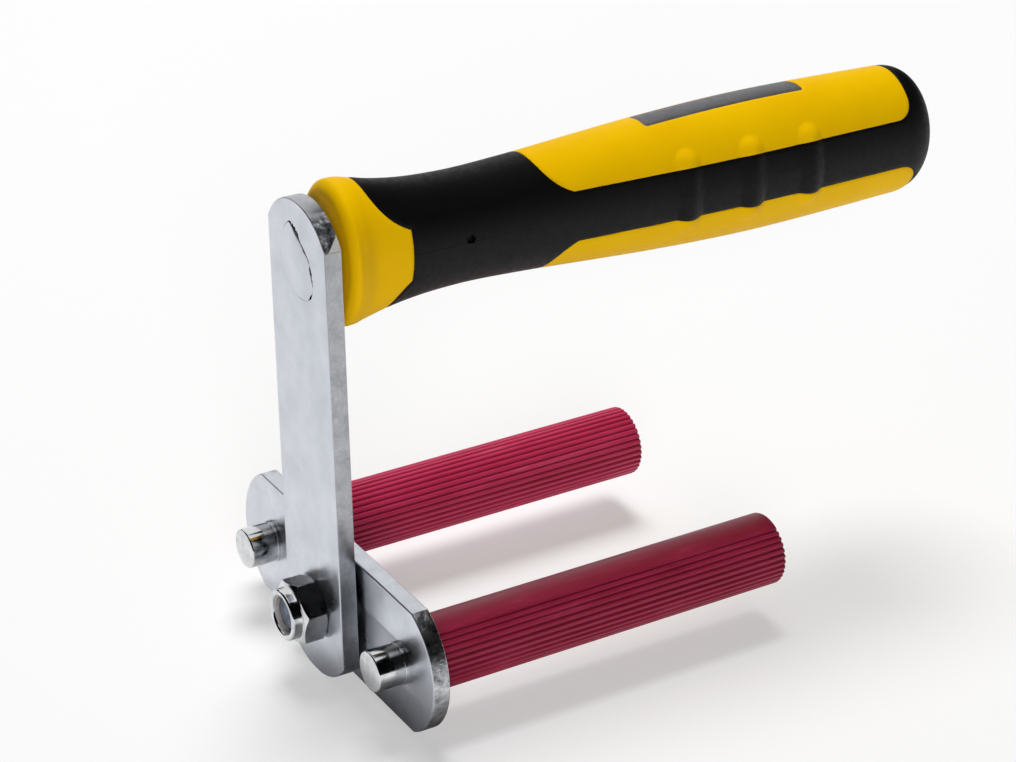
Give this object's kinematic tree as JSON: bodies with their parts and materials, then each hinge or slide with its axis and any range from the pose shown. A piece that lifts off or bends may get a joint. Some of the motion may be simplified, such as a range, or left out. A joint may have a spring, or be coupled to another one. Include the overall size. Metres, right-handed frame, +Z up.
{
  "type": "panel carrier",
  "caption": "Hand carrier for building panels: a moulded grip on a flat steel arm, pivoted on a rocker whose rubber-sleeved pins pinch the edge of a panel when lifted.",
  "frame": {"origin": "under the middle of the part's box, level with the lowest point of the arm's foot", "axes": "+Y back along the grip and the sleeves, +Z up along the arm, +X across the arm, along the rocker"},
  "size_m": [0.0864, 0.1648, 0.1118],
  "materials": {
    "zinc_plate": "satin bright zinc plating",
    "bright_steel": "polished bright plating",
    "red_rubber": "ribbed matte rubber",
    "nylon": "translucent pale nylon",
    "yellow_plastic": "satin moulded plastic",
    "black_rubber": "soft matte overmould",
    "grey_plastic": "fine matte inlay"
  },
  "bodies": {
    "rocker": {"rocker_plate": "zinc_plate", "left_pin": "bright_steel", "right_pin": "bright_steel", "left_hose": "red_rubber", "right_hose": "red_rubber"},
    "lever": {"arm_plate": "zinc_plate", "spacer_washer": "bright_steel", "head_washer": "bright_steel", "pivot_bolt": "bright_steel", "lock_nut": "bright_steel", "nylon_ring": "nylon", "handle_shaft": "zinc_plate", "front_weld": "zinc_plate", "rear_weld": "zinc_plate", "grip_core": "yellow_plastic", "grip_overmould": "black_rubber", "badge_plate": "grey_plastic"}
  },
  "joints": [
    {"name": "arm_swing", "type": "hinge", "parent": "rocker", "child": "lever", "pos_m": [0, -0.0744, 0.016], "axis": [0, 1, 0], "range_deg": [-50.25, 54.75]}
  ]
}
